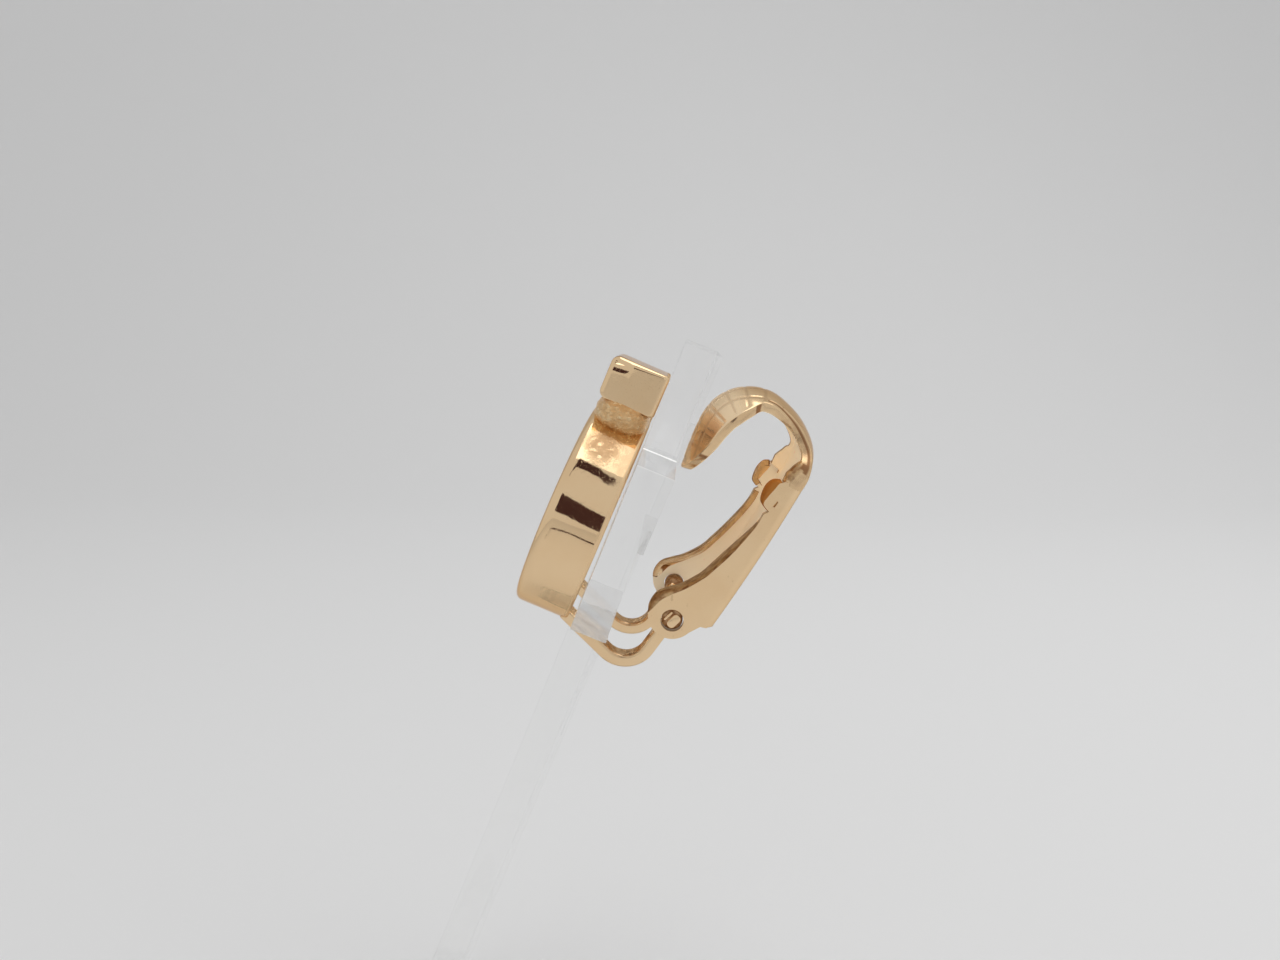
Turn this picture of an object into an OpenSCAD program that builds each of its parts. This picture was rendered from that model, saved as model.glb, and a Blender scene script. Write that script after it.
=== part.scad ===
// Clip-on earring held on the side tab of a leaning clear display plate.
// Earring axes: x across the earring, n to its back, u up its face, from the hinge's centre.

/* [Scroll front] */
// Width of the flat band that is curled into the scroll
band_w = 2.35; // [2:0.05:2.4]
// Depth of the band from its front to its back
band_d = 3.2; // [2.6:0.1:3.4]
// Outer radius of the scroll's near turn
near_r = 6.1; // [5.9:0.05:6.1]
// Outer radius of the scroll's far turn
far_r = 7.6; // [7.5:0.05:7.7]
// Outer radius of the turn that curls in under the end
curl_r = 4.6; // [4.5:0.05:4.6]
// Outer radius of the small inner turn
eye_r = 3.2; // [3.1:0.05:3.2]
// Length of the straight end beyond the top of the far turn
end_l = 2.7; // [2:0.1:3]
// Height of the near turn's centre above the hinge
scroll_u = 3; // [3:0.05:3.2]
// Distance from the hinge to the scroll's back face
scroll_gap = 5.15; // [5.1:0.05:5.3]
// Extra lean of the scroll against the plate behind it
scroll_lean = 1; // [0:0.25:1.5]

/* [Wire loop] */
// Thickness of the loop's wire
wire_d = 0.8; // [0.6:0.05:0.85]
// Distance between the centres of the loop's two arms
arms_w = 4.8; // [4.4:0.1:4.8]
// Radius of the bend at the bottom of each arm
bend_r = 1.45; // [1.4:0.05:1.5]
// Diameter of the wire's flared end that the clip turns on
peg_d = 1.1; // [0.9:0.02:1.12]

/* [Clip] */
// Thickness of the clip's sheet metal
sheet = 0.4; // [0.3:0.05:0.45]
// Width of the clip across its two sides
clip_w = 6.7; // [6.5:0.1:7]
// Radius of the rounded ear about the hinge
ear_r = 1.31; // [1.25:0.01:1.4]
// Diameter of the hinge hole in each ear
hole_d = 1.26; // [1.24:0.01:1.3]
// Angle between the clip's back and the scroll's face
back_lean = 8.7; // [8.2:0.1:9]
// Bulge of the back's middle
back_bulge = 0.1; // [0:0.02:0.16]
// Width of the neck between the channel and the pad
neck_w = 4.2; // [3.6:0.1:4.6]
// Width of the domed pad
pad_w = 5.6; // [5:0.1:6]
// Depth of the pad's dome across its width
pad_dish = 1.14; // [1:0.02:1.3]
// Width of the rim that each side turns in along its front edge
rim_w = 1.1; // [0.8:0.05:1.1]

/* [Display] */
// Angle that the plate and the earring lean back
lean = 22; // [18:0.5:26]
// Thickness of the clear sheet
plate_t = 2.4; // [2:0.05:2.4]
// Width of the upright plate
plate_w = 10; // [10:1:12]
// Length of the plate above the hinge
plate_top = 13.9; // [12:0.1:16]
// Top edge of the tab that the earring holds
tab_top = 7.6; // [7:0.1:8]
// Bottom edge of the tab
tab_low = -1.95; // [-1.95:0.05:-1.5]
// Thickness of the tab
tab_t = 2.05; // [1.9:0.05:2.2]
// Width of the foot
foot_w = 24; // [24:1:36]
// Depth of the foot from front to back
foot_l = 36; // [36:1:48]
// Thickness of the foot
foot_t = 4; // [4:0.5:6]
// Height of the hinge above the table
hinge_z = 43; // [40:1:46]

/* [Hidden] */
$fn = 72;

// The hinge's centre over the middle of the foot
hinge_x = 2.5;
hinge_y = 8;
gold = [0.86, 0.70, 0.50];
clear = [0.86, 0.89, 0.88, 0.45];

// Scroll: heights of the turns' centres, which share one line so that the turns run into each other
near_u = scroll_u;
far_u = near_u - near_r + far_r;
curl_u = near_u + near_r - curl_r;
eye_u = curl_u - curl_r + eye_r;
end_u = far_u + far_r - band_w;
front_round = 0.45;
back_round = 0.3;
round_steps = 5;
bridge_d = band_d - 0.9;
lean_u = 9;
bridge_w = 3.6;

// Wire: a straight run from the solder, one bend, and a straight run up to the hinge
wire_r = wire_d / 2;
bend = [-1.95, -1.75];
solder = [-scroll_gap - 0.6, -2.29];
peg_in = 2;
solder_run = sqrt(pow(norm(bend - solder), 2) - pow(bend_r, 2));
solder_dir = atan2(bend[1] - solder[1], bend[0] - solder[0]) - asin(bend_r / norm(bend - solder));
hinge_run = sqrt(pow(norm(bend), 2) - pow(bend_r, 2));
hinge_dir = atan2(bend[1], bend[0]) + asin(bend_r / norm(bend));

// Clip: heights of its back, and the ridge of its neck and pad as knots n, u from the back over to the tip
half_w = clip_w / 2;
web_low = 0.43;
web_high = 9.4;
flank_high = 9.95;
back_low = 2.23;
ribbon_t = 0.5;
ribbon_sides = 8;
knot_steps = 3;
pad_knot = 8.15;
weld = 0.03;
ear_c = [-0.1, 0.22];
ear_edge = [[-1.28, 0.85], [0.47, 2.47], [1.49, 4.62], [2.2, 6.9]];
edge_steps = 14;
back_steps = 7;
lip_w = 0.9;
lug = [[2.2, 7.4], [1.72, 7.75], [1.58, 8.2], [1.62, 8.8], [1.95, 9.4], [2.5, 9.7]];

// Display: the plate lies between the scroll and the pad, clear of both
plate_n = -5;
plate_x = -3.5;
tab_x = 5;
step_u = 3.3;
step_d = 0.35;
nook_r = 3.4;
slot_floor = 0.9;
seat = 0.1;
foot_round = 3;
plate_low = (slot_floor - hinge_z + (plate_n + plate_t) * sin(lean)) / cos(lean);

// Places a solid given in the earring's own axes
module leaned() {
    translate([hinge_x, hinge_y, hinge_z]) rotate([-lean, 0, 0]) children();
}

// Extrudes an outline drawn in n and u by a width along x, from x0
module side(x0, w) {
    translate([x0, 0, 0]) rotate([90, 0, 90]) linear_extrude(w) children();
}

// Cylinder along x
module cross_pin(r, x0, w) {
    translate([x0, 0, 0]) rotate([0, 90, 0]) cylinder(r = r, h = w);
}

// Points of a rounded corner
function corner(c, r, from) =
    [for (i = [0 : round_steps]) let (angle = from + 90 * i / round_steps) c + r * [cos(angle), sin(angle)]];

// Section of the band between two radii, with its front edges rounder than its back ones
function band_section(r_in, r_out) = concat(
    corner([r_out - back_round, back_round], back_round, -90),
    corner([r_out - front_round, band_d - front_round], front_round, 0),
    corner([r_in + front_round, band_d - front_round], front_round, 90),
    corner([r_in + back_round, back_round], back_round, 180));

// One turn of the band, as an arc in the scroll's plane
module turn(u, r_out, from, sweep) {
    translate([0, u, 0]) rotate([0, 0, from]) rotate_extrude(angle = sweep)
        polygon(band_section(r_out - band_w, r_out));
}

// Round end that closes the innermost turn
module eye_end(angle) {
    r = band_w / 2;
    translate([0, eye_u, 0]) rotate([0, 0, angle]) translate([eye_r - r, 0, 0]) rotate_extrude(angle = 180)
        polygon([for (p = band_section(-r, r)) if (p[0] > 0) p, [0, band_d], [0, 0]]);
}

module scroll() {
    turn(far_u, far_r, 90, 180);
    turn(near_u, near_r, -90, 180);
    turn(curl_u, curl_r, 90, 180);
    turn(eye_u, eye_r, -90, 150);
    eye_end(60);
    translate([0, end_u, 0]) rotate([90, 0, 90]) linear_extrude(end_l) polygon(band_section(0, band_w));
    translate([end_l - 0.4 - bridge_w, near_u + near_r - 0.9, (band_d - bridge_d) / 2])
        cube([bridge_w, end_u - near_u - near_r + 1.3, bridge_d]);
}

// One arm of the loop, in the plane of its own wire, and the peg at its upper end
module arm(side_x) {
    translate([side_x * arms_w / 2, 0, 0]) {
        translate([0, solder[0], solder[1]]) rotate([solder_dir - 90, 0, 0])
            cylinder(r = wire_r, h = solder_run);
        translate([0, bend[0], bend[1]]) rotate([90, 0, 90]) rotate([0, 0, solder_dir - 90])
            rotate_extrude(angle = hinge_dir + 180 - solder_dir) translate([bend_r, 0]) circle(r = wire_r);
        rotate([hinge_dir - 90, 0, 0]) cylinder(r = wire_r, h = hinge_run);
    }
    peg_l = half_w - 0.05 - peg_in;
    cross_pin(peg_d / 2, side_x > 0 ? peg_in : -peg_in - peg_l, peg_l);
}

module scroll_front() {
    color(gold) leaned() {
        translate([0, -scroll_gap, lean_u]) rotate([90 - scroll_lean, 0, 0])
            translate([0, -lean_u, 0]) scroll();
        arm(1);
        arm(-1);
    }
}

// Point on a cubic curve
function curve(p, t) =
    pow(1 - t, 3) * p[0] + 3 * t * pow(1 - t, 2) * p[1] + 3 * t * t * (1 - t) * p[2] + pow(t, 3) * p[3];

// Distance n of the back's outer face at a height u
function back_n(u) =
    let (rise = u - web_low, t = rise / (web_high - web_low))
        back_low + rise * tan(back_lean) + back_bulge * 4 * t * (1 - t);

// The back's outer face set in by a depth, from one height to another
function back_line(from, to, depth) =
    [for (i = [0 : back_steps]) let (u = from + (to - from) * i / back_steps) [back_n(u) - depth, u]];

module side_plate() {
    polygon(concat(
        [for (i = [0 : edge_steps]) curve(ear_edge, i / edge_steps)],
        lug,
        back_line(flank_high, web_low, 0),
        [[1.9, 0.33], [1.5, 0.2], [0.6, -0.6]]));
}

// Back of the channel, as a strip along its outer face
module web() {
    polygon(concat(back_line(web_low, web_high, 0), back_line(web_high, web_low, sheet)));
}

// Point set in from a cubic curve, square to it
function inset(p, t, depth) =
    let (way = curve(p, t + 0.01) - curve(p, t - 0.01)) curve(p, t) + depth / norm(way) * [way[1], -way[0]];

// Rim that a side turns in along its front edge
module front_rim(x0) {
    places = [for (i = [1 : edge_steps - 1]) i / edge_steps];
    side(x0, rim_w) polygon(concat(
        [for (t = places) inset(ear_edge, t, weld)],
        [for (i = [len(places) - 1 : -1 : 0]) inset(ear_edge, places[i], sheet)]));
}

// Knots of the ribbon's ridge: the first two lie just inside the web
function ridge() = [
    for (u = [8.8, web_high]) [back_n(u) - weld, u],
    [3.79, 10.1], [3.85, 10.75], [3.64, 11.4], [3.17, 12], [2.4, 12.62], [1.45, 13.08], [0.5, 13.34],
    [-0.45, 13.27], [-1.3, 12.92], [-1.95, 12.4], [-2.45, 11.65], [-2.7, 10.75], [-2.76, 9.7],
    [-2.74, 8.65], [-2.66, 7.6]];
last_knot = len(ridge()) - 1;

function blend(a, b, t) = let (s = max(0, min(1, t))) a + (b - a) * s * s * (3 - 2 * s);

// Point of the ridge at a place counted in knots, on a smooth line through them
function knot(i) = ridge()[max(0, min(i, last_knot))];
function ridge_at(t) =
    let (i = min(floor(t), last_knot - 1), f = t - i)
    let (a = knot(i - 1), b = knot(i), c = knot(i + 1), d = knot(i + 2))
        b + f / 2 * (c - a + f * (2 * a - 5 * b + 4 * c - d + f * (3 * b - a - 3 * c + d)));

// Direction in which the ribbon's outer face looks there
function outward(t) =
    let (way = ridge_at(min(t + 0.05, last_knot)) - ridge_at(max(t - 0.05, 0)))
        [way[1], -way[0]] / norm(way);

// Share of the pad's length that lies before a place
function along_pad(t) = (t - pad_knot) / (last_knot - pad_knot);

// Half width: the channel narrows to the neck, and the pad is a leaf
function half(t) = t < 5 ? blend(half_w - 0.05, neck_w / 2, (t - 1.2) / 2.3) :
    max(along_pad(t) < 0.3 ? neck_w / 2 : 0,
        pad_w / 2 * sqrt(max(0.04, 1 - pow(abs(along_pad(t) - 0.45) / 0.56, 2.4))));

// Drop of the ribbon below its ridge at a distance x from it
function dish(t, x) =
    let (share = t < 5 ? blend(0, 0.6, (t - 0.8) / 2.2) : blend(0.6, 1, (t - 6.2) / 4))
        pow(2 * x / pad_w, 2) * pad_dish * share;

function ribbon_point(t, x, depth) =
    let (p = ridge_at(t) - (dish(t, x) + depth) * outward(t)) [x, p[0], p[1]];

// Neck and pad: one strip of sheet swept along the ridge
module ribbon() {
    stations = [for (i = [0 : knot_steps * last_knot]) i / knot_steps];
    n = len(stations);
    k = ribbon_sides + 1;
    ring = 2 * k;
    points = [for (s = stations) each concat(
        [for (i = [0 : ribbon_sides]) ribbon_point(s, half(s) * (2 * i / ribbon_sides - 1), 0)],
        [for (i = [ribbon_sides : -1 : 0]) ribbon_point(s, half(s) * (2 * i / ribbon_sides - 1), ribbon_t)])];
    skin = [for (j = [0 : n - 2]) for (i = [0 : ring - 1])
        let (a = j * ring + i, b = j * ring + (i + 1) % ring)
            each [[a, b, b + ring], [a, b + ring, a + ring]]];
    caps = [for (i = [0 : ribbon_sides - 1])
        let (a = i, b = ring - 1 - i, c = (n - 1) * ring)
            each [[a, b, b - 1], [a, b - 1, a + 1],
                [c + a, c + b - 1, c + b], [c + a, c + a + 1, c + b - 1]]];
    polyhedron(points, concat(skin, caps));
}

// Lip that the lug turns in across the channel's mouth
module lug_lip(x0) {
    side(x0, lip_w) polygon([
        [1.68, 7.9], [1.56, 8.3], [1.6, 8.8], [1.85, 9.25],
        [2.15, 9.05], [1.98, 8.7], [1.95, 8.3], [2.05, 8]]);
}

module ear_clip() {
    color(gold) leaned() difference() {
        union() {
            for (x0 = [-half_w, half_w - sheet]) {
                side(x0, sheet) side_plate();
                translate([0, ear_c[0], ear_c[1]]) cross_pin(ear_r, x0, sheet);
            }
            side(-half_w, clip_w) web();
            ribbon();
            lug_lip(-half_w + sheet / 2);
            lug_lip(half_w - sheet / 2 - lip_w);
            front_rim(-half_w + weld);
            front_rim(half_w - rim_w - weld);
        }
        cross_pin(hole_d / 2, -clip_w, 2 * clip_w);
    }
}

// Clear sheet in the earring's axes, grown by a margin for its slot
module sheet_box(x0, x1, u0, u1, grow) {
    translate([x0 - grow, plate_n - grow, u0 - grow])
        cube([x1 - x0 + 2 * grow, plate_t + 2 * grow, u1 - u0 + 2 * grow]);
}

// Side tab, with a step in the lower half of its back
module tab() {
    back = plate_n + tab_t;
    side(plate_x - 1, tab_x - plate_x + 1) polygon([
        [plate_n, tab_low], [back, tab_low], [back - step_d, step_u],
        [back, step_u], [back, tab_top], [plate_n, tab_top]]);
}

// Rounded inner corner between the tab's top and the plate's side
module nook() {
    translate([plate_x - 1, plate_n, tab_top - 1]) difference() {
        cube([nook_r + 1, tab_t, nook_r + 1]);
        translate([nook_r + 1, -1, nook_r + 1]) rotate([-90, 0, 0]) cylinder(r = nook_r, h = tab_t + 2);
    }
}

module display_plate() {
    color(clear) leaned() {
        sheet_box(plate_x - plate_w, plate_x, plate_low, plate_top, 0);
        tab();
        nook();
    }
}

module foot_block() {
    translate([-foot_w / 2 + foot_round, -foot_l / 2, 0]) cube([foot_w - 2 * foot_round, foot_l, foot_t]);
    translate([-foot_w / 2, -foot_l / 2 + foot_round, 0]) cube([foot_w, foot_l - 2 * foot_round, foot_t]);
    for (x = [-1, 1], y = [-1, 1])
        translate([x * (foot_w / 2 - foot_round), y * (foot_l / 2 - foot_round), 0])
            cylinder(r = foot_round, h = foot_t);
}

module display_foot() {
    color(clear) difference() {
        foot_block();
        leaned() sheet_box(plate_x - plate_w, plate_x, plate_low, 0, seat);
    }
}

scroll_front();
ear_clip();
display_plate();
display_foot();
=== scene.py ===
"""Looks of a clip-on earring that hangs on the side tab of a clear leaning plate.

Tables and shapes are in millimetres, in the earring's own axes: x across the earring,
n to its back and u up its face, all from the centre of the clip's hinge.
"""

import math

import bmesh
import bpy
import numpy as np
from mathutils import Matrix, Vector


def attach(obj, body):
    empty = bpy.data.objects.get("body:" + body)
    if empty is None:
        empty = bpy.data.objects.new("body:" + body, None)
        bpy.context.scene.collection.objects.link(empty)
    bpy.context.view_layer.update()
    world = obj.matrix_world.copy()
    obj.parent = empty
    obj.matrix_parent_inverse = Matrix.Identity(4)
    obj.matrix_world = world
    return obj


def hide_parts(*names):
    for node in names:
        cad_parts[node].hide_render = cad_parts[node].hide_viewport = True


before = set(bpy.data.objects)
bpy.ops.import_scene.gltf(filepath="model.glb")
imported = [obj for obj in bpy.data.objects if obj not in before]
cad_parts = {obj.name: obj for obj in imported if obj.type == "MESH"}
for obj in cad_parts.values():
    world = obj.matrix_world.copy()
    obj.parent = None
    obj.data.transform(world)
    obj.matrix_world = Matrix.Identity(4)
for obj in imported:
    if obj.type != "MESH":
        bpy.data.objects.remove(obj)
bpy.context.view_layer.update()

MM = 0.001
# How far the plate leans back, and the hinge's centre, from the middle of the foot's underside
LEAN = math.radians(22)
HINGE = Vector((2.5, 8, 43))
EARRING = Matrix.Translation(HINGE * MM) @ Matrix.Rotation(-LEAN, 4, "X") @ Matrix.Scale(MM, 4)

# The scroll's own axes are x, u and the depth in front of its back face, turned by its lean at a height u
SCROLL_BACK = -5.15
SCROLL_LEAN = 1
SCROLL_TURNS_AT = 9
SCROLL = (
    EARRING
    @ Matrix.Translation((0, SCROLL_BACK, SCROLL_TURNS_AT))
    @ Matrix.Rotation(math.radians(90 - SCROLL_LEAN), 4, "X")
    @ Matrix.Translation((0, -SCROLL_TURNS_AT, 0))
)


# Node building


def operator(operation, swapped=False):
    """Method that puts a Math node between a socket and another term, which comes first if swapped."""
    return lambda self, other: self.math(operation, *((other, self) if swapped else (self, other)))


class Signal:
    """A socket in a tree. Python's operators add the Math nodes that reckon with it."""

    def __init__(self, tree, socket):
        self.tree, self.socket = tree, socket

    def math(self, operation, *terms):
        return self.tree.make("ShaderNodeMath", {"operation": operation}, dict(enumerate(terms)))

    __add__ = __radd__ = operator("ADD")
    __sub__, __rsub__ = operator("SUBTRACT"), operator("SUBTRACT", swapped=True)
    __mul__ = __rmul__ = operator("MULTIPLY")
    __truediv__, __rtruediv__ = operator("DIVIDE"), operator("DIVIDE", swapped=True)
    __pow__, __lt__ = operator("POWER"), operator("LESS_THAN")

    def at_most(self, limit):
        return self.math("MINIMUM", self, limit)

    def near_line(self, half_width):
        """1 where the value is a whole number and 0 from half_width away, with a round fall."""
        off = self.math("FRACT", self + 0.5) - 0.5
        return 1 - (off.math("ABSOLUTE", off) / half_width).at_most(1) ** 2

    def ramp(self, low, high):
        """Rises smoothly from 0 at low to 1 at high."""
        sockets = {"Value": self, "From Min": low, "From Max": high}
        return self.tree.make("ShaderNodeMapRange", {"interpolation_type": "SMOOTHSTEP"}, sockets)


class Tree:
    """Adds nodes to one node tree."""

    def __init__(self, tree):
        self.tree = tree

    def make(self, kind, settings=None, sockets=None, output=0):
        """Adds a node, with its settings first and then each socket's value or link, and gives one output."""
        node = self.tree.nodes.new(kind)
        for name, setting in (settings or {}).items():
            setattr(node, name, setting)
        for key, given in (sockets or {}).items():
            self.feed(node.inputs[key], given)
        return Signal(self, node.outputs[output]) if node.outputs else node

    def feed(self, socket, given):
        if isinstance(given, Signal):
            self.tree.links.new(given.socket, socket)
        else:
            socket.default_value = given


# A Mix node's colour sockets share their names with others, so they go by number
MIX_SHARE, MIX_LOW, MIX_HIGH, MIX_RESULT = 0, 6, 7, 2


class Finish(Tree):
    """One material, built round its Principled shader."""

    def __init__(self, name, **fixed):
        self.material = bpy.data.materials.new(name)
        self.material.use_nodes = True
        super().__init__(self.material.node_tree)
        self.shader = self.tree.nodes["Principled BSDF"]
        for key, given in fixed.items():
            self.set(key.replace("_", " "), given)
        place = self.make("ShaderNodeTexCoord", output="Object")
        self.in_mm = self.make("ShaderNodeVectorMath", {"operation": "SCALE"}, {0: place, "Scale": 1 / MM})

    def set(self, name, given):
        self.feed(self.shader.inputs[name], given)

    def noise(self, per_mm, detail=3, rough=0.55, turn=None, stretch=None):
        """Noise of that many cells to the millimetre, turned and scaled along its axes if that is given."""
        place = self.in_mm
        if stretch:
            sockets = {"Vector": place, "Rotation": turn, "Scale": stretch}
            place = self.make("ShaderNodeMapping", None, sockets)
        sockets = {"Vector": place, "Scale": per_mm, "Detail": detail, "Roughness": rough}
        return self.make("ShaderNodeTexNoise", None, sockets)

    def blend(self, share, low, high):
        """Mixes two colours by a share."""
        low, high = [(*tone, 1) if isinstance(tone, tuple) else tone for tone in (low, high)]
        sockets = {MIX_SHARE: share, MIX_LOW: low, MIX_HIGH: high}
        return self.make("ShaderNodeMix", {"data_type": "RGBA"}, sockets, MIX_RESULT)

    def attribute(self, name):
        return self.make("ShaderNodeAttribute", {"attribute_name": name}, output="Fac")

    def spot(self, centre, inner, outer):
        """1 within inner millimetres of a point and 0 beyond outer."""
        sockets = {0: self.in_mm, 1: centre}
        away = self.make("ShaderNodeVectorMath", {"operation": "DISTANCE"}, sockets, "Value")
        return 1 - away.ramp(inner, outer)

    def bump(self, height, depth_mm):
        sockets = {"Height": height, "Distance": depth_mm * MM, "Strength": 1.0}
        return self.make("ShaderNodeBump", None, sockets)


# Finishes

BLACK, WHITE = (0.0, 0.0, 0.0), (1.0, 1.0, 1.0)
GOLD = (0.90, 0.66, 0.40)
DEEP_GOLD = (0.80, 0.52, 0.27)
EDGE_TINT = (0.8, 0.66, 0.52)
# Paler colour and faint glow of the clip's inside: painted light
PAINTED_LIT_INSIDE, PAINTED_INSIDE_GLOW = (0.94, 0.76, 0.52), (0.14, 0.135, 0.11)
# Brown of tarnish and sheared edges, also used as painted shade in grooves, bends, the dull spot and the
# shanks
TARNISH_AND_SHADE = (0.30, 0.14, 0.06)
LIP_BROWN = (0.62, 0.42, 0.22)
# Orange-brown of the lug's curled lip: painted shade
LUG_LIP_SHADE = (0.55, 0.22, 0.05)
SOLDER, PALE_SOLDER = (0.84, 0.54, 0.26), (1.0, 0.8, 0.5)
CLEAR, CLOUDED = (0.99, 0.99, 0.985), (0.975, 0.98, 0.975)
# Grey of a band along the top of the tab's end face
RIM_GREY = (0.83, 0.81, 0.78)
# Painted highlight of the tab's bevels
PAINTED_GLINT_GREY = (0.6, 0.6, 0.58)
# Middle of the dull spot below the solder, whose darker colour is partly painted shade, in the earring's axes
DULL_SHADE_AT = (4.0, -7.0, 7.6)


def plated_gold():
    """Bright plating on the scroll and wire, with a matt mottled spot by the solder and duller bends, both
    darker partly as painted shade, and painted shade on the pegs' shanks.
    """
    gold = Finish("plated_gold", Metallic=1.0, Specular_Tint=(*EDGE_TINT, 1))
    cloud = gold.noise(per_mm=0.35).ramp(0.35, 0.75)
    speck = gold.noise(per_mm=3.2, detail=5, rough=0.7)
    # The spot by the solder is rougher and mottled; its darker, browner colour is partly painted shade.
    by_solder = gold.spot(EARRING @ Vector(DULL_SHADE_AT) / MM, inner=0.5, outer=1.4)
    dull = by_solder * (0.3 + speck.ramp(0.36, 0.54) * 0.7)
    # Insides of the wire's bends and the pegs' shanks: rougher, and darker as painted shade.
    bend = gold.attribute("dull") * (0.6 + speck.ramp(0.4, 0.6) * 0.4)
    brushed = gold.noise(per_mm=1.0, detail=2, rough=0.5, turn=(0.3, 0.9, 0.2), stretch=(1.5, 16, 16))
    brushed = brushed.ramp(0.6, 0.78)
    tone = gold.blend(cloud * 0.3 + dull * 0.5, GOLD, DEEP_GOLD)
    gold.set("Base Color", gold.blend(bend * 0.6 + dull * 0.42, tone, TARNISH_AND_SHADE))
    gold.set("Roughness", 0.05 + brushed * 0.05 + dull * 0.4 + bend * 0.3 + gold.attribute("back") * 0.35)
    uneven, mottle = gold.noise(per_mm=0.8, detail=2), gold.noise(per_mm=9, detail=2)
    gold.set("Normal", gold.bump(uneven * 0.5 + dull * mottle * 1.6 + brushed * 0.05, depth_mm=0.012))
    return gold.material


def stamped_gold():
    """Plated sheet of the clip: satin faces, a matt inside painted paler and glowing as painted light, brown
    edges and lips, painted shade on the lug's lip, and pressed lines darkened with painted shade.
    """
    gold = Finish("stamped_gold", Specular_Tint=(*EDGE_TINT, 1), Emission_Strength=1.0)
    cut, recess_shade, inside = [gold.attribute(key) for key in ("cut", "recess_shade", "inside")]
    cloud = gold.noise(per_mm=0.5).ramp(0.3, 0.8)
    shear = gold.noise(per_mm=1.0, detail=4, rough=0.65, turn=(0, 0, 0), stretch=(5, 2, 2))
    specks = gold.noise(per_mm=2.3, detail=2, rough=0.5).ramp(0.68, 0.74)
    # The inside is made paler, as painted light, and below it less metallic and rougher.
    face = gold.blend(inside, gold.blend(cloud * 0.3, GOLD, DEEP_GOLD), PAINTED_LIT_INSIDE)
    # Cut marks above 1, found only on the lug's curled lip, give its painted shade.
    edge = gold.blend(cut.ramp(1, 2), gold.blend(shear.ramp(0.35, 0.7), LIP_BROWN, TARNISH_AND_SHADE), LUG_LIP_SHADE)
    browning = gold.blend(cut.at_most(1), face, edge)
    # Random specks, and painted shade in the pressed and scored lines and at the nicks
    gold.set("Base Color", gold.blend((specks * 0.25 + recess_shade).at_most(0.9), browning, TARNISH_AND_SHADE))
    gold.set("Metallic", 1 - inside * 0.9)
    gold.set("Roughness", 0.12 + cut * 0.25 + recess_shade * 0.2 + inside * 0.4)
    # Faint glow of the inside: painted light.
    gold.set("Emission Color", gold.blend(inside, BLACK, PAINTED_INSIDE_GLOW))
    gold.set("Normal", gold.bump(gold.noise(per_mm=1.2, detail=2) * 0.6 + cut * shear * 1.2, depth_mm=0.015))
    return gold.material


def soldered_gold():
    """Rough solder under the plating, with bright specks and brown pits."""
    gold = Finish("soldered_gold", Metallic=1.0)
    grain = gold.noise(per_mm=3.6, detail=5, rough=0.7)
    pit = gold.noise(per_mm=1.9, detail=2).ramp(0.55, 0.75)
    tone = gold.blend(grain.ramp(0.45, 0.7), SOLDER, PALE_SOLDER)
    gold.set("Base Color", gold.blend(pit * 0.4, tone, DEEP_GOLD))
    gold.set("Roughness", 0.15 + grain * 0.2)
    gold.set("Normal", gold.bump(grain, depth_mm=0.24))
    return gold.material


def clear_acrylic():
    """Clear sheet with polished faces, frosted sawn edges, grey rims and painted highlights on the bevels at
    the tab's end.
    """
    sheet = Finish("clear_acrylic", Transmission_Weight=1.0, IOR=1.49, Emission_Strength=1.0)
    sawn, rim, painted_glint, faint = [sheet.attribute(key) for key in ("sawn", "rim", "painted_glint", "faint")]
    grain = sheet.noise(per_mm=0.8, detail=4, rough=0.6)
    tone = sheet.blend(sheet.noise(per_mm=0.1), CLEAR, CLOUDED)
    sheet.set("Base Color", sheet.blend(rim, tone, RIM_GREY))
    # Painted highlight: the marked bevels and the nook's start glow grey-white.
    sheet.set("Emission Color", sheet.blend(painted_glint, BLACK, PAINTED_GLINT_GREY))
    sheet.set("Roughness", 0.02 + sawn * (0.06 + grain.ramp(0.4, 0.8) * 0.08))
    sheet.set("Alpha", 0.7 - faint * 0.35)
    sheet.set("Normal", sheet.bump(grain * sawn + sheet.noise(per_mm=0.25, detail=2), depth_mm=0.02))
    return sheet.material


def stage_finish(name, colour, glow=0.0, far_light=None):
    """Matt or glowing surface of the surroundings. Its light can turn into another along its shade."""
    plain = Finish(name, Roughness=1.0)
    plain.set("Specular IOR Level", 0.0)
    plain.set("Base Color", (*colour, 1))
    light = plain.blend(plain.attribute("shade"), WHITE, far_light) if far_light else (*WHITE, 1)
    plain.set("Emission Color", light)
    plain.set("Emission Strength", glow)
    return plain.material


PLATED, STAMPED, SOLDERED, ACRYLIC = plated_gold(), stamped_gold(), soldered_gold(), clear_acrylic()


# Piece making

# Points closer than this many millimetres are one
MEETING = 1e-5
# Points round each corner of a swept section
CORNER_POINTS = 14


def set_marks(mesh, key, numbers, domain="POINT"):
    """Gives a mesh a named attribute, with one number to a point or to a face."""
    layer = mesh.attributes.new(key, "FLOAT", domain)
    layer.data.foreach_set("value", np.asarray(numbers, np.float32))


def mesh_of(name, points, faces, **marks):
    """Mesh from points and faces, with one number to a point for each named attribute."""
    mesh = bpy.data.meshes.new(name)
    mesh.from_pydata([tuple(p) for p in points], [], faces)
    for key, numbers in marks.items():
        set_marks(mesh, key, numbers)
    mesh.update()
    return mesh


def joined(name, meshes):
    """One mesh from several, with their attributes kept."""
    shape = bmesh.new()
    for mesh in meshes:
        shape.from_mesh(mesh)
    made = bpy.data.meshes.new(name)
    shape.to_mesh(made)
    shape.free()
    return made


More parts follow.
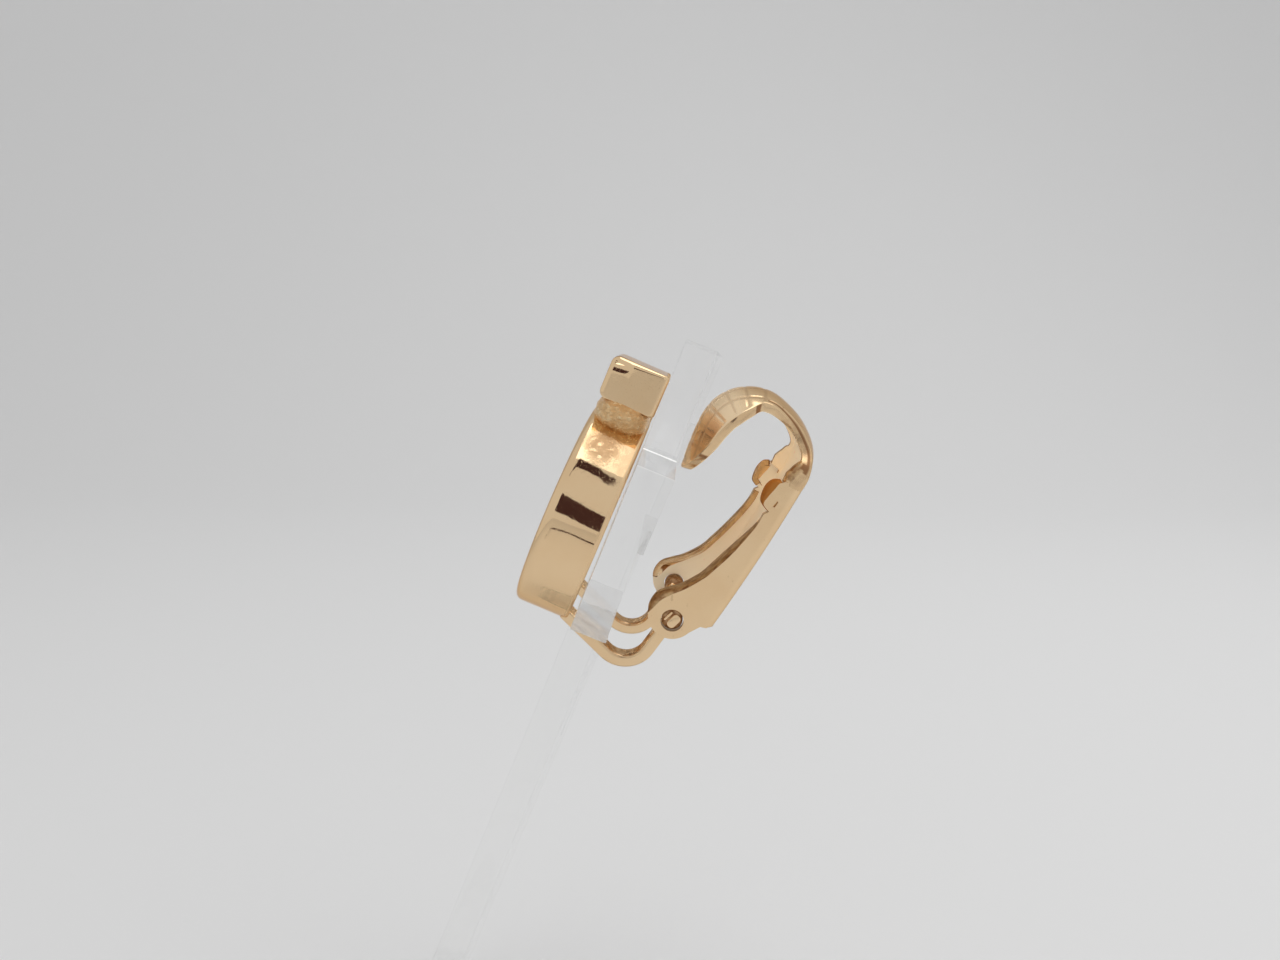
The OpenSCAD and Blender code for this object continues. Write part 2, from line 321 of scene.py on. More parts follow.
def stack(rings):
    """Skin over rings of equal count, with both ends closed."""
    count = len(rings[0])
    points = [p for ring in rings for p in ring]
    faces = [
        (j * count + i, j * count + (i + 1) % count, (j + 1) * count + (i + 1) % count, (j + 1) * count + i)
        for j in range(len(rings) - 1) for i in range(count)
    ]
    return points, faces + [tuple(range(count)), tuple(range(len(points) - count, len(points)))]


def outward(mesh):
    """Merges points that meet and turns every face outwards."""
    shape = bmesh.new()
    shape.from_mesh(mesh)
    bmesh.ops.remove_doubles(shape, verts=shape.verts, dist=MEETING)
    bmesh.ops.recalc_face_normals(shape, faces=shape.faces)
    shape.to_mesh(mesh)
    shape.free()
    return mesh


def ease(low, high, share):
    """Goes smoothly from low, at share 0 and before, to high, at share 1 and after."""
    share = min(1, max(0, share))
    return low + (high - low) * share * share * (3 - 2 * share)


def unit(degrees):
    """Vector of length 1 at an angle."""
    return Vector((math.cos(math.radians(degrees)), math.sin(math.radians(degrees))))


def placed(name, data):
    """New object in the scene."""
    made = bpy.data.objects.new(name, data)
    bpy.context.scene.collection.objects.link(made)
    return made


def evaluated(mesh, change):
    """Plain mesh that comes from a mesh once change(carrier) has put modifiers on its carrier."""
    carrier = placed("carrier", mesh)
    change(carrier)
    bpy.context.view_layer.update()
    made = bpy.data.meshes.new_from_object(carrier.evaluated_get(bpy.context.evaluated_depsgraph_get()))
    bpy.data.objects.remove(carrier)
    return made


def add_piece(name, mesh, place, body, material, crease=35, flats=False):
    """Places a mesh that rides on a body. With flats, its big flat faces keep flat shading."""
    mesh.shade_smooth()
    mesh.set_sharp_from_angle(angle=math.radians(crease))
    if flats:
        mesh = evaluated(mesh, lambda carrier: carrier.modifiers.new("flats", "WEIGHTED_NORMAL"))
    mesh.transform(place)
    mesh.materials.clear()
    mesh.materials.append(material)
    mesh.name = name
    piece = placed(name, mesh)
    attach(piece, body)
    return piece


class Recipe(Tree):
    """A Geometry Nodes tree with named inputs."""

    def __init__(self, name, **sizes):
        super().__init__(bpy.data.node_groups.new(name, "GeometryNodeTree"))
        sockets = self.tree.interface
        sockets.new_socket("Geometry", in_out="INPUT", socket_type="NodeSocketGeometry")
        sockets.new_socket("Geometry", in_out="OUTPUT", socket_type="NodeSocketGeometry")
        for key in sizes:
            sockets.new_socket(key, in_out="INPUT", socket_type="NodeSocketFloat")
        sockets.new_socket("material", in_out="INPUT", socket_type="NodeSocketMaterial")
        self.entry = self.tree.nodes.new("NodeGroupInput")
        self.given = {key: float(size) for key, size in sizes.items()}

    def input(self, name):
        return Signal(self, self.entry.outputs[name])

    def named(self, name, kind="FLOAT"):
        return self.make("GeometryNodeInputNamedAttribute", {"data_type": kind}, {"Name": name})

    def close(self, geometry):
        """Ends the tree in real, painted geometry."""
        real = self.make("GeometryNodeRealizeInstances", None, {"Geometry": geometry})
        sockets = {"Geometry": real, "Material": self.input("material")}
        self.make("NodeGroupOutput", None, {0: self.make("GeometryNodeSetMaterial", None, sockets)})

    def run(self, mesh, material):
        """Plain mesh that the tree makes from a mesh."""
        given = {**self.given, "material": material}

        def apply(carrier):
            change = carrier.modifiers.new("recipe", "NODES")
            change.node_group = self.tree
            for item in self.tree.interface.items_tree:
                if item.name in given:
                    change[item.identifier] = given[item.name]

        return evaluated(mesh, apply)


def swept_bar(name, **sizes):
    """Recipe that sweeps a rounded rectangle along a path, turned by its facing and scaled by its girth."""
    bar = Recipe(name, **sizes)
    path = bar.make("GeometryNodeMeshToCurve", None, {"Mesh": bar.input("Geometry")})
    sockets = {"Curve": path, "Normal": bar.named("facing", "FLOAT_VECTOR")}
    path = bar.make("GeometryNodeSetCurveNormal", {"mode": "FREE"}, sockets)
    sockets = {"Width": bar.input("width"), "Height": bar.input("height")}
    section = bar.make("GeometryNodeCurvePrimitiveQuadrilateral", None, sockets)
    front = bar.make("ShaderNodeSeparateXYZ", None, {0: bar.make("GeometryNodeInputPosition")}, "Y") < 0
    corner = front * bar.input("front_corner") + (1 - front) * bar.input("back_corner")
    sockets = {"Curve": section, "Count": CORNER_POINTS, "Radius": corner, "Limit Radius": True}
    section = bar.make("GeometryNodeFilletCurve", {"mode": "POLY"}, sockets)
    sockets = {"Curve": section, "Length": bar.input("grain")}
    section = bar.make("GeometryNodeResampleCurve", {"mode": "LENGTH"}, sockets)
    sockets = {"Curve": path, "Profile Curve": section, "Scale": bar.named("girth"), "Fill Caps": True}
    bar.close(bar.make("GeometryNodeCurveToMesh", None, sockets))
    return bar


def path_mesh(rows):
    """Line of points, each with its girth and the way that the section's width faces."""
    places, girths, facings = zip(*rows)
    mesh = bpy.data.meshes.new("path")
    mesh.from_pydata([tuple(p) for p in places], [(i, i + 1) for i in range(len(rows) - 1)], [])
    set_marks(mesh, "girth", girths)
    facing = mesh.attributes.new("facing", "FLOAT_VECTOR", "POINT")
    facing.data.foreach_set("vector", np.asarray([tuple(f) for f in facings], np.float32).ravel())
    return mesh


# Scroll

# Width and depth of the band, the rounding of its front and back edges, and its faces' length round it
BAND_W, BAND_D = 2.35, 3.2
FRONT_ROUND, BACK_ROUND, BAND_GRAIN = 0.4, 0.14, 0.13
# Outer radii of the scroll's turns, and the heights of their centres
FAR_R, NEAR_R, CURL_R, EYE_R = 7.6, 6.1, 4.6, 3.2
NEAR_U = 3.0
FAR_U = NEAR_U - NEAR_R + FAR_R
CURL_U = NEAR_U + NEAR_R - CURL_R
EYE_U = CURL_U - CURL_R + EYE_R
# Length of the straight end, and of its outermost part, which is worn round
END_L, END_BEVEL = 2.7, 0.4
# Degrees between the centre line's points, where the eye begins to taper, and how far its tip goes on
ARC_STEP, EYE_STOP, EYE_TIP = 2.5, 60, 33
# Steps of that tip, each of so many degrees of a quarter turn
TIP_STEPS, TIP_STEP = 9, 9.6
# Sizes of the rings on the end's face, the outermost first, as shares of its outline
END_RINGS = (0.97, 0.88, 0.78, 0.68, 0.58, 0.48, 0.3)
# How much the end falls away at its top front corner, and from what height and depth on
PILLOW, PILLOW_ABOVE, PILLOW_BEFORE = 0.26, 0.35, 2.1
# Middle and half sizes of the solder under the straight end
SEAM_AT, SEAM_HALF = (1.1, 9.12, BAND_D / 2), (2.2, 0.84, 1.5)
# Waves that make solder lumpy: their number, spread and pitch
WAVES, WAVE_SPREAD, WAVE_PITCH = 9, 3.2, 2.2


def scroll_path():
    """The band's centre line from its straight end to its eye: each place, its girth, and the way out."""
    half, depth = BAND_W / 2, BAND_D / 2
    straight = [*np.linspace(END_L, END_L - END_BEVEL, 17), *np.linspace(END_L - END_BEVEL, 0, 9)[1:]]
    rows = [(Vector((x, FAR_U + FAR_R - half, depth)), 1.0, Vector((0, 1, 0))) for x in straight]

    def turn(centre_u, radius, degrees, girth=1.0):
        out = unit(degrees).to_3d()
        rows.append((Vector((0, centre_u, depth)) + out * (radius - half), girth, out))

    for centre_u, radius, start, stop in (
        (FAR_U, FAR_R, 90, 270), (NEAR_U, NEAR_R, -90, 90),
        (CURL_U, CURL_R, 90, 270), (EYE_U, EYE_R, -90, EYE_STOP),
    ):
        count = round((stop - start) / ARC_STEP)
        for i in range(1, count + 1):
            turn(centre_u, radius, start + (stop - start) * i / count)
    for i in range(1, TIP_STEPS + 1):
        taper = math.radians(TIP_STEP * i)
        turn(EYE_U, EYE_R, EYE_STOP + EYE_TIP * math.sin(taper), math.cos(taper))
    return rows


def worn_end(mesh):
    """Builds the band's cut end of rings, then rounds it, most along the top and hardly at all below."""
    middle = FAR_U + FAR_R - BAND_W / 2
    shape = bmesh.new()
    shape.from_mesh(mesh)
    caps = [face for face in shape.faces if len(face.verts) > 4]
    end = max(caps, key=lambda face: face.calc_center_median().x)
    outer, centre = list(end.verts), end.calc_center_median()
    rim = [v.co.copy() for v in outer]
    shape.faces.remove(end)
    for share in END_RINGS:
        inner = [shape.verts.new(centre.lerp(spot, share)) for spot in rim]
        for i, v in enumerate(outer):
            j = (i + 1) % len(outer)
            shape.faces.new((v, outer[j], inner[j], inner[i]))
        outer = inner
    shape.faces.new(outer)
    shape.to_mesh(mesh)
    shape.free()
    for v in mesh.vertices:
        above = v.co.y - middle
        if v.co.x < END_L - END_BEVEL or above < -BAND_W:
            continue
        rise, depth = above / (BAND_W / 2), v.co.z / BAND_D
        pillow = PILLOW * max(0, above - PILLOW_ABOVE) ** 2 * max(0, v.co.z - PILLOW_BEFORE)
        # Axis, share and radius of the rounding above, below, at the front and at the back
        sides = (
            (1, max(rise, 0) ** 3, 0.14 + 0.24 * depth), (1, min(rise, 0), 0.03),
            (2, depth, 0.2), (2, depth - 1, 0.22),
        )
        for axis, share, radius in sides:
            over = max(0, v.co.x - (END_L - radius))
            v.co[axis] -= (radius - math.sqrt(max(0, radius ** 2 - over ** 2))) * share
        v.co.x -= pillow


def blob(name, centre, half_sizes, lumps, seed, power=2.6):
    """Rounded lump of solder, squarer than a ball, with lumps of that share made by a fixed set of waves."""
    rng = np.random.default_rng(seed)
    waves = rng.normal(size=(WAVES, 3)) * WAVE_SPREAD
    shifts = rng.uniform(0, 6.3, WAVES)
    ball = bmesh.new()
    bmesh.ops.create_icosphere(ball, subdivisions=5, radius=1)
    for v in ball.verts:
        way = np.array(v.co)
        swell = (np.abs(way) ** power).sum() ** (-1 / power)
        ripple = np.sin(waves @ way * WAVE_PITCH + shifts).mean() * lumps
        v.co = Vector(centre) + Vector(way * swell * (1 + ripple) * np.array(half_sizes))
    mesh = bpy.data.meshes.new(name)
    ball.to_mesh(mesh)
    ball.free()
    return mesh


def make_scroll():
    bar = swept_bar(
        "band_sweep", width=BAND_W, height=BAND_D,
        front_corner=FRONT_ROUND, back_corner=BACK_ROUND, grain=BAND_GRAIN,
    )
    band = outward(bar.run(path_mesh(scroll_path()), PLATED))
    worn_end(band)
    set_marks(band, "back", [v.co.z < BACK_ROUND + 0.01 for v in band.vertices])
    band = add_piece("scroll_band", band, SCROLL, "stand", PLATED, crease=60)
    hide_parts("scroll_front")
    seam = blob("seam", SEAM_AT, SEAM_HALF, lumps=0.05, seed=4, power=3)
    add_piece("scroll_solder", seam, SCROLL, "stand", SOLDERED)


make_scroll()


# Wire loop

# Width and height of the flattened wire, the rounding of its edges, and its faces' length round it
WIRE_W, WIRE_H, WIRE_CORNER, WIRE_GRAIN = 1.0, 0.74, 0.18, 0.07
# Distance of each arm from the middle, and the radius of its turn into the hinge
ARM_X, ELBOW_R = 2.4, 0.5
# Centre n, u and radius of the bend below the hinge, and how far its inside, duller and darkened with painted
# shade, reaches and fades
BEND, BEND_R, BEND_SHADE_REACH, BEND_SHADE_FADE = Vector((-2.04, -2.03)), 1.55, 1.8, 0.8
# Start n, u of each arm at the scroll, and middle and half sizes of its drop of solder
SOLDERED_AT = Vector((-5.6, -2.17))
DROP_AT, DROP_HALF = (-5.36, -2.14), (0.48, 0.24, 0.3)
# Distance of each peg's tip from the middle, and how far short of it the wire stops
PEG_X, WIRE_SHORT = 3.28, 0.25
# The tip's flat and its pinch mark: width, height, shift across and distance from the middle
PEG_PARTS = (0.86, 0.52, -0.13, PEG_X), (0.66, 0.15, 0.3, PEG_X - 0.02)
PEG_ALONG, PEG_ACROSS = Vector((0, 0.39, 0.92)), Vector((0, -0.92, 0.39))
# Rings of the tip as inset and depth behind its face, and of its shank as radius and depth, and the strength
# of the painted shade that darkens the shank in its hole
TIP_RINGS = (0, 0.7), (0, 0.05), (0.015, 0.015), (0.05, 0)
SHANK_RINGS, SHANK_SHADE = ((0.56, 1.1), (0.58, 0.16), (0.54, 0.12)), 1.6


def arm_path(side):
    """One arm of the loop: from its solder, round the bend, up to the hinge and out through the ear."""
    to_bend = BEND - SOLDERED_AT
    run = math.degrees(math.atan2(to_bend.y, to_bend.x) - math.asin(BEND_R / to_bend.length))
    drop = math.degrees(math.atan2(BEND.y, BEND.x) + math.asin(BEND_R / BEND.length))
    across, down = Vector((side, 0, 0)), Vector((0, *unit(drop)))
    rows = []

    def station(x, flat, facing=across):
        rows.append((Vector((x * side, flat.x, flat.y)), 1.0, facing))

    first = math.sqrt(to_bend.length ** 2 - BEND_R ** 2)
    for share in np.linspace(0, 0.97, 12):
        station(ARM_X, SOLDERED_AT + unit(run) * first * share)
    for angle in np.linspace(run - 90, drop + 90, 22):
        station(ARM_X, BEND + unit(angle) * BEND_R)
    last = math.sqrt(BEND.length ** 2 - BEND_R ** 2)
    for away in np.linspace(last, ELBOW_R, 9)[1:]:
        station(ARM_X, unit(drop) * away)
    for turn in np.linspace(0, 90, 10)[1:]:
        a = math.radians(turn)
        x = ARM_X + ELBOW_R * (1 - math.cos(a))
        station(x, unit(drop) * ELBOW_R * (1 - math.sin(a)), across * math.cos(a) + down * math.sin(a))
    station(PEG_X - WIRE_SHORT, Vector((0, 0)), down)
    return rows


def rounded(width, height, corner, steps=6):
    """Outline of a rounded rectangle about its centre."""
    outline = []
    for quarter, (sx, sy) in enumerate([(1, 1), (-1, 1), (-1, -1), (1, -1)]):
        for i in range(steps + 1):
            out = unit(90 * quarter + 90 * i / steps) * corner
            outline.append(Vector((sx * (width / 2 - corner), sy * (height / 2 - corner))) + out)
    return outline


def peg_head(side):
    """Flattened tip of an arm in its hole, with the pinch mark along one side."""
    parts = []
    for width, height, shift, x in PEG_PARTS:
        rings = []
        for inset, sink in TIP_RINGS:
            outline = rounded(width - 2 * inset, height - 2 * inset, min(width, height) * 0.42 - inset * 0.8)
            tip = Vector(((x - sink) * side, 0, 0))
            rings.append([tip + PEG_ALONG * p.x + PEG_ACROSS * (p.y + shift) for p in outline])
        parts.append(outward(mesh_of("peg", *stack(rings))))
    return joined("peg", parts)


def shank(side):
    """Round root of the peg, set back in its hole, rougher and darkened with painted shade."""
    turns = np.linspace(0, 2 * math.pi, 48, endpoint=False)
    points, faces = stack([
        [Vector(((PEG_X - sink) * side, radius * math.cos(a), radius * math.sin(a))) for a in turns]
        for radius, sink in SHANK_RINGS
    ])
    return outward(mesh_of("shank", points, faces, dull=[SHANK_SHADE] * len(points)))


def inside_bend(v):
    """How far a point of the wire faces the bend's centre, fading out away from the bend."""
    inward = (Vector((0, *BEND)) - Vector((0, v.co.y, v.co.z))).normalized()
    return max(0, v.normal.dot(inward)) * ease(0, 1, (BEND_SHADE_REACH - abs(v.co.y - BEND.x)) / BEND_SHADE_FADE)


def make_loop():
    bar = swept_bar(
        "wire_sweep", width=WIRE_W, height=WIRE_H,
        front_corner=WIRE_CORNER, back_corner=WIRE_CORNER, grain=WIRE_GRAIN,
    )
    wire = joined("arms", [outward(bar.run(path_mesh(arm_path(side)), PLATED)) for side in (1, -1)])
    # The insides of the bends are marked rougher, and darker as painted shade.
    set_marks(wire, "dull", [inside_bend(v) for v in wire.vertices])
    add_piece("loop_wire", wire, EARRING, "stand", PLATED, crease=60)
    pegs = joined("pegs", [part(side) for side in (1, -1) for part in (peg_head, shank)])
    add_piece("loop_pegs", pegs, EARRING, "stand", PLATED, crease=50)
    drops = [blob("drop", (side * ARM_X, *DROP_AT), DROP_HALF, lumps=0.1, seed=7) for side in (1, -1)]
    add_piece("loop_solder", joined("drops", drops), EARRING, "stand", SOLDERED)


make_loop()


# Clip

# Thickness of the sheet metal, of its turned-in lips and of the pad, and half the clip's width
SHEET, LIP_T, PAD_T, HALF_W = 0.4, 0.34, 0.5, 3.35
# Centre, radius and degrees of the ear about the hinge, and the radius of its hole
EAR, EAR_R, EAR_ARC, HOLE_R = Vector((-0.1, 0.22)), 1.31, range(-24, -163, -6), 0.63
# The back's distance from the hinge at its low end, its lean in degrees, its bulge and its two ends
BACK_LOW, BACK_LEAN, BACK_BULGE = 2.23, 8.7, 0.1
WEB_LOW, WEB_HIGH = 0.43, 9.4
# Outer and inner rounding where the back meets the sides, and height where the sides end
BACK_TURN, INNER_TURN, FLANK_HIGH = 0.5, 0.14, 9.5
# How far the sides reach past the folds of their lips
PAST_FOLD = 0.03
# Heights well beyond both ends of the clip, for what is cut from it
FAR_LOW, FAR_HIGH = -4, 13
# Corners of each side between its lug and its back, and between its back and its ear
LUG_CORNER, HEEL = (2.5, 9.42), ((1.9, 0.33), (1.55, 0.26))
# Small pit that the press left in the near side, as points n, u
PIT = (2.44, 7.96), (2.55, 7.96), (2.62, 8.27), (2.51, 8.36)
# Widths of the neck and the pad, and depth of the pad's dome
NECK_W, PAD_W, PAD_DISH = 4.2, 5.6, 1.14
# Places on the ridge, counted in its knots, where the neck stops narrowing and where the pad begins
NECK_KNOT, PAD_KNOT = 6, 8.15
# The pad's outline is a leaf: share of its length where it is widest, its reach and its fullness
LEAF_AT, LEAF_REACH, LEAF_FULL = 0.45, 0.56, 2.4
# Places of the nicks in the near edge, and of the line scored along the neck, widest where it starts, both
# darkened with painted shade
NICKS, SCORED, SCORED_WIDE = ((8.75, 9.15), (14.75, 15.0)), (1.9, 8.4), (2.1, 2.9)
# Shares across the ribbon that no point has, so nothing is scored there
PAST_EDGE = (2, 2)
# Edges sharper than this many degrees are rounded after a cut, and by how much
SHARP, CUT_EDGE = 38, 0.03
# Share across a lip's width against the rise of its rounded face from fold to free edge
LIP_ROUND = (0, 0), (0.05, 0.3), (0.14, 0.55), (0.28, 0.75), (0.5, 0.9), (0.75, 0.98), (0.95, 1.0)
# Lips that turn in from each side: points n, u of the free edge and of the fold, and the width turned in
FRONT_LIP = (
    ((-1.4, -0.12), (-1.36, -0.12), 0.4), ((-1.5, 0.25), (-1.2, 0.28), 0.45),
    ((-1.48, 0.65), (-0.98, 0.85), 0.5), ((-1.32, 1.1), (-0.7, 1.22), 0.6),
    ((-0.88, 1.5), (-0.42, 1.52), 0.7), ((-0.3, 1.95), (-0.12, 1.8), 0.8),
    ((0.25, 2.56), (0.36, 2.4), 0.95), ((0.6, 3.05), (0.81, 3.08), 1.05), ((0.87, 3.65), (1.07, 3.66), 1.1),
    ((1.17, 4.35), (1.36, 4.28), 1.1), ((1.5, 5.15), (1.65, 5.05), 1.0), ((1.8, 5.9), (1.9, 5.85), 0.85),
    ((2.04, 6.6), (2.1, 6.58), 0.65), ((2.14, 7.0), (2.17, 7.0), 0.5), ((2.17, 7.4), (2.2, 7.4), 0.45),
)
LUG_LIP = (
    ((2.16, 7.66), (2.4, 7.62), 0.45), ((1.8, 7.92), (1.98, 7.9), 0.55), ((1.7, 8.35), (2.04, 8.37), 0.65),
    ((1.73, 8.85), (2.2, 8.88), 0.65), ((1.93, 9.25), (2.3, 9.22), 0.55), ((2.28, 9.42), (2.42, 9.3), 0.45),
)


def smooth_line(knots, steps):
    """Points of a smooth line through knots."""
    ends = [knots[0] * 2 - knots[1], *knots, knots[-1] * 2 - knots[-2]]
    line = []
    for a, b, c, d in zip(ends, ends[1:], ends[2:], ends[3:]):
        for i in range(steps):
            t = i / steps
            line.append((b * 2 + (c - a) * t + (a * 2 - b * 5 + c * 4 - d) * t * t
                         + (b * 3 - a - c * 3 + d) * t ** 3) / 2)
    return line + [knots[-1]]


def back_n(u):
    """Distance n of the back's outer face at a height."""
    share = (u - WEB_LOW) / (WEB_HIGH - WEB_LOW)
    return BACK_LOW + (u - WEB_LOW) * math.tan(math.radians(BACK_LEAN)) + BACK_BULGE * 4 * share * (1 - share)


def lip_rows(lip, steps=6):
    """The lip's free edge and fold as smooth lines, with the turned-in width at each point."""
    edges = smooth_line([Vector((*e, w)) for e, _, w in lip], steps)
    folds = smooth_line([Vector((*f, w)) for _, f, w in lip], steps)
    return [(Vector(e[:2]), Vector(f[:2]), e.z) for e, f in zip(edges, folds)]


def side_outline():
    """Outline of one side, cut back to the folds of its lips, and which of its points lie on the back."""
    outline = [EAR + unit(a) * EAR_R for a in EAR_ARC]
    for lip in (FRONT_LIP, LUG_LIP):
        outline += [fold + (edge - fold).normalized() * PAST_FOLD for edge, fold, _ in lip_rows(lip)]
    outline.append(Vector(LUG_CORNER))
    backs = [Vector((back_n(u), u)) for u in np.linspace(FLANK_HIGH, WEB_LOW, 20)]
    on_back = [False] * len(outline) + [True] * len(backs) + [False] * len(HEEL)
    return outline + backs + [Vector(p) for p in HEEL], on_back


def setback(x, half, radius):
    """How far a rounded edge falls back at x, on a face of that half width."""
    over = max(0, abs(x) - (half - radius))
    return radius - math.sqrt(max(0, radius ** 2 - over ** 2))


def channel_block(half, radius, outline, on_back):
    """Solid of the side outline across a width, with its two back edges rounded."""
    xs = [half - radius + radius * math.sin(math.radians(a)) for a in range(0, 91, 15)]
    xs = [-x for x in reversed(xs)] + xs
    return stack([
        [Vector((x, p.x - setback(x, half, radius) * back, p.y)) for p, back in zip(outline, on_back)]
        for x in xs
    ])


def carved(base, cutters, width, segments=2):
    """Cuts solids out of a solid and rounds the sharp edges that are left."""
    tools = [placed("cutter", outward(mesh_of("cutter", *cutter))) for cutter in cutters]

    def change(carrier):
        for tool in tools:
            cut = carrier.modifiers.new("cut", "BOOLEAN")
            cut.object, cut.operation, cut.solver = tool, "DIFFERENCE", "EXACT"
        edge = carrier.modifiers.new("edge", "BEVEL")
        edge.width, edge.segments = width, segments
        edge.limit_method, edge.angle_limit = "ANGLE", math.radians(SHARP)

    made = evaluated(outward(mesh_of("base", *base)), change)
    for tool in tools:
        bpy.data.objects.remove(tool)
    return made


def turned_lip(lip, side, brown):
    """Lip of sheet that turns in from one side, rounded over from its fold to its free edge, and browned; a
    brown share above 1 paints shade on it.
    """
    rings = []
    rows = lip_rows(lip)
    for i, (edge, fold, width) in enumerate(rows):
        ahead = (rows[min(i + 1, len(rows) - 1)][0] - rows[max(i - 1, 0)][0]).normalized()
        inward = Vector((ahead.y, -ahead.x))
        reach = HALF_W - width
        ring = [(HALF_W - 0.05, fold + inward * 0.25)]
        ring += [(HALF_W - width * across, fold + (edge - fold) * rise) for across, rise in LIP_ROUND]
        ring += [(reach, edge + inward * 0.05), (reach, edge + inward * (LIP_T - 0.05))]
        ring += [(reach + 0.05, edge + inward * LIP_T)]
        ring += [(HALF_W - SHEET - 0.02, fold + inward * 0.2), (HALF_W - SHEET + 0.02, fold + inward * 0.25)]
        rings.append([Vector((side * x, p.x, p.y)) for x, p in ring])
    marks = ([brown] * 8 + [0.5] * 3 + [0.0] * 2) * len(rings)
    points, faces = stack(rings)
    return outward(mesh_of("lip", points, faces, cut=marks))


def channel_shell():
    """The two sides and the back as one bent sheet, with its hinge holes and pit, marked for its cut edges
    and its inside's painted light.
    """
    outer = channel_block(HALF_W, BACK_TURN, *side_outline())
    inner_back = [Vector((back_n(u) - SHEET, u)) for u in np.linspace(FAR_HIGH, FAR_LOW, 20)]
    inner_outline = [Vector((-4, FAR_LOW)), Vector((-4, FAR_HIGH)), *inner_back]
    inner = channel_block(HALF_W - SHEET, INNER_TURN, inner_outline, [False] * 2 + [True] * len(inner_back))
    pit = stack([[Vector((x, *p)) for p in PIT] for x in (HALF_W - 0.2, HALF_W + 0.65)])
    hole = stack([[Vector((x, *(unit(a) * HOLE_R))) for a in range(0, 360, 6)] for x in (-5, 5)])
    shell = carved(outer, [inner, hole, pit], CUT_EDGE)
    cut, inside = [], []
    for v in shell.vertices:
        before_back = back_n(v.co.z) - v.co.y
        cut.append(0.8 * (abs(v.normal.x) < 0.5 and before_back > 0.6))
        inside.append(abs(v.co.x) < HALF_W - SHEET + 0.04 and before_back > SHEET - 0.1)
    set_marks(shell, "cut", cut)
    set_marks(shell, "inside", inside)
    return shell


def make_channel():
    parts = [channel_shell()]
    for side in (1, -1):
        # The lug's lip gets a share above 1: painted shade on its curled face.
        parts += [turned_lip(FRONT_LIP, side, 1.0), turned_lip(LUG_LIP, side, 1.9)]
    channel = joined("channel", parts)
    channel = add_piece("clip_channel", channel, EARRING, "clip", STAMPED, flats=True)
    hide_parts("ear_clip")


# Knots n, u of the clip's outer line, up from the back, over the bow and down the pad
RIDGE = [Vector((back_n(8.8) - 0.03, 8.8)), Vector((back_n(WEB_HIGH) + 0.012, WEB_HIGH))]
RIDGE += [Vector(knot) for knot in (
    (3.79, 10.1), (3.85, 10.75), (3.64, 11.4), (3.17, 12.0), (2.4, 12.62), (1.45, 13.08), (0.5, 13.34),
    (-0.45, 13.27), (-1.3, 12.92), (-1.95, 12.4), (-2.45, 11.65), (-2.7, 10.75), (-2.76, 9.7),
    (-2.74, 8.65), (-2.66, 7.6),
)]
# Depth of the wall that is folded down each side of the neck, against the ridge's knots
WALL = (0, 0.35, 0.5, 1.2, 1.9, 2.5, 3.0, 3.8), (0.25, 0.3, 1.12, 1.2, 0.98, 0.76, 0.62, 0.56)
# Shares across the neck where its crown turns into its fold, and its fold into its wall
CROWN_END, FOLD_END = 0.7, 0.85
# Steps of the ribbon across it, and along it from knot to knot
COLUMNS, STEPS = 72, 10
# The squares' pitch, the half width of their lines as a share of it, and the lines' depth
PITCH, LINE, LINE_DEPTH = 1.13, 0.11, 0.028


def half_width(place):
    """Half the clip's width at a place: the neck narrows, and the pad is a leaf."""
    if place < NECK_KNOT:
        # The neck starts a hair outside the channel, and the part that the channel hides is a little narrower
        return ease(HALF_W + 0.012, NECK_W / 2, (place - 1) / 5) - 0.042 * ease(1, 0, place / 0.9)
    share = (place - PAD_KNOT) / (len(RIDGE) - 1 - PAD_KNOT)
    leaf = PAD_W / 2 * math.sqrt(max(0.02, 1 - (abs(share - LEAF_AT) / LEAF_REACH) ** LEAF_FULL))
    return max(NECK_W / 2 if share < 0.3 else 0, leaf)


def folded_section(place):
    """Neck's outer and inner face as points x, depth: a crowned strip with a wall folded down each side."""
    half = half_width(place)
    radius, wall = ease(BACK_TURN, 0.13, (place - 0.6) / 2), np.interp(place, *WALL)
    crown = ease(0, 0.3, (place - 0.8) / 2.2)
    pinch = 0.3 * ease(1, 0, (place - 1.8) / 1.2)
    faces = []
    for inset, bend in ((0, radius), (SHEET, max(radius - SHEET, 0.05))):
        row = []
        for s in np.linspace(-1, 1, COLUMNS + 1):
            a, flat = abs(s), half - inset - bend
            if a <= CROWN_END:
                x, depth = flat * a / CROWN_END, inset + crown * (a / CROWN_END) ** 2
            elif a <= FOLD_END:
                turn = math.radians((a - CROWN_END) / 0.15 * 90)
                x, depth = flat + bend * math.sin(turn), inset + crown + bend * (1 - math.cos(turn))
            else:
                low = inset + bend
                x, depth = half - inset, crown + low + (max(wall, low) - low) * (a - FOLD_END) / 0.15
            x -= pinch * max(0, (a - 0.93) / 0.07) ** 2
            row.append(Vector((math.copysign(x, s), depth)))
        faces.append(row)
    return faces


def open_section(place):
    """Pad's section in the same form: one domed sheet."""
    half = half_width(place)
    drop = PAD_DISH * ease(0.8, 1, (place - 7) / 3.2)
    row = [Vector((half * s, drop * (2 * half * s / PAD_W) ** 2)) for s in np.linspace(-1, 1, COLUMNS + 1)]
    return [row, [p + Vector((0, PAD_T)) for p in row]]


